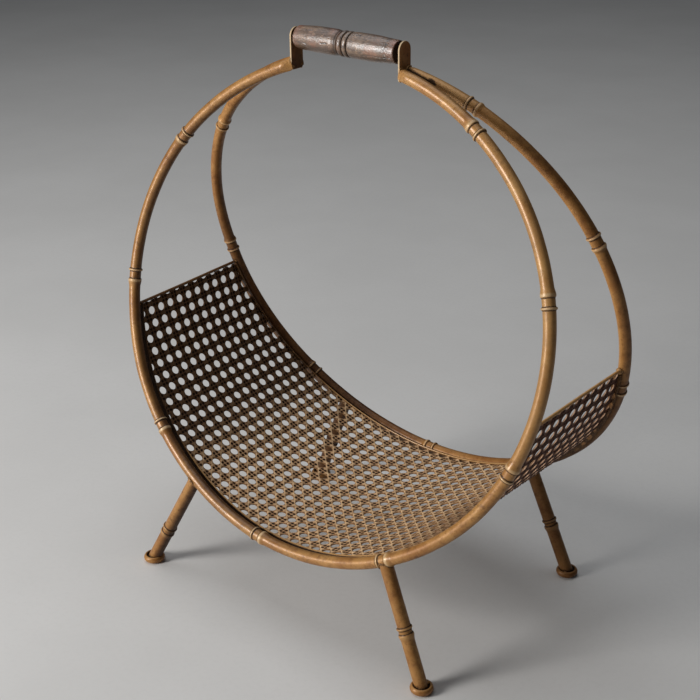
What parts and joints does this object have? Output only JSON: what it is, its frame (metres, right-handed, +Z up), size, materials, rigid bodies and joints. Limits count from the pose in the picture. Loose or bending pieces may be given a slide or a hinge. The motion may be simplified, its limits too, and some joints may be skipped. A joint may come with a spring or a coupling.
{
  "type": "log holder",
  "caption": "Free-standing hearth log holder: a pair of leaning bamboo-style iron hoops, a bent perforated sheet trough between them, splayed legs and a turning wooden grip at the top.",
  "frame": {"origin": "middle of the footprint on the floor, below the middle of the hoops", "axes": "+Z up, +X along the grip towards the right of the picture, -Y the front, where the nearer hoop is"},
  "size_m": [0.5292, 0.2832, 0.5835],
  "materials": {
    "aged_gold": "aged gold lacquer, satin, brown in the crevices",
    "pierced_sheet": "aged gold lacquer, satin, pierced and embossed",
    "dark_bronze": "dark brown lacquer with worn gold edges",
    "rod_steel": "dull steel",
    "worn_wood": "weathered, worn through to paler and reddish wood"
  },
  "bodies": {
    "frame": {"front_hoop": "aged_gold", "back_hoop": "aged_gold", "front_hoop_rings": "aged_gold", "back_hoop_rings": "aged_gold", "left_plate": "dark_bronze", "right_plate": "dark_bronze", "handle_rod": "rod_steel", "trough_sheet": "pierced_sheet", "left_cross_rod": "aged_gold", "right_cross_rod": "aged_gold", "front_edge_strip": "aged_gold", "back_edge_strip": "aged_gold", "front_left_leg": "aged_gold", "front_left_leg_rings": "aged_gold", "front_left_foot": "aged_gold", "front_right_leg": "aged_gold", "front_right_leg_rings": "aged_gold", "front_right_foot": "aged_gold", "back_left_leg": "aged_gold", "back_left_leg_rings": "aged_gold", "back_left_foot": "aged_gold", "back_right_leg": "aged_gold", "back_right_leg_rings": "aged_gold", "back_right_foot": "aged_gold"},
    "grip": {"handle_grip": "worn_wood"}
  },
  "joints": [
    {"name": "handle_spin", "type": "hinge", "parent": "frame", "child": "grip", "pos_m": [-0.014, 0, 0.571], "axis": [1, 0, 0], "continuous": true}
  ]
}
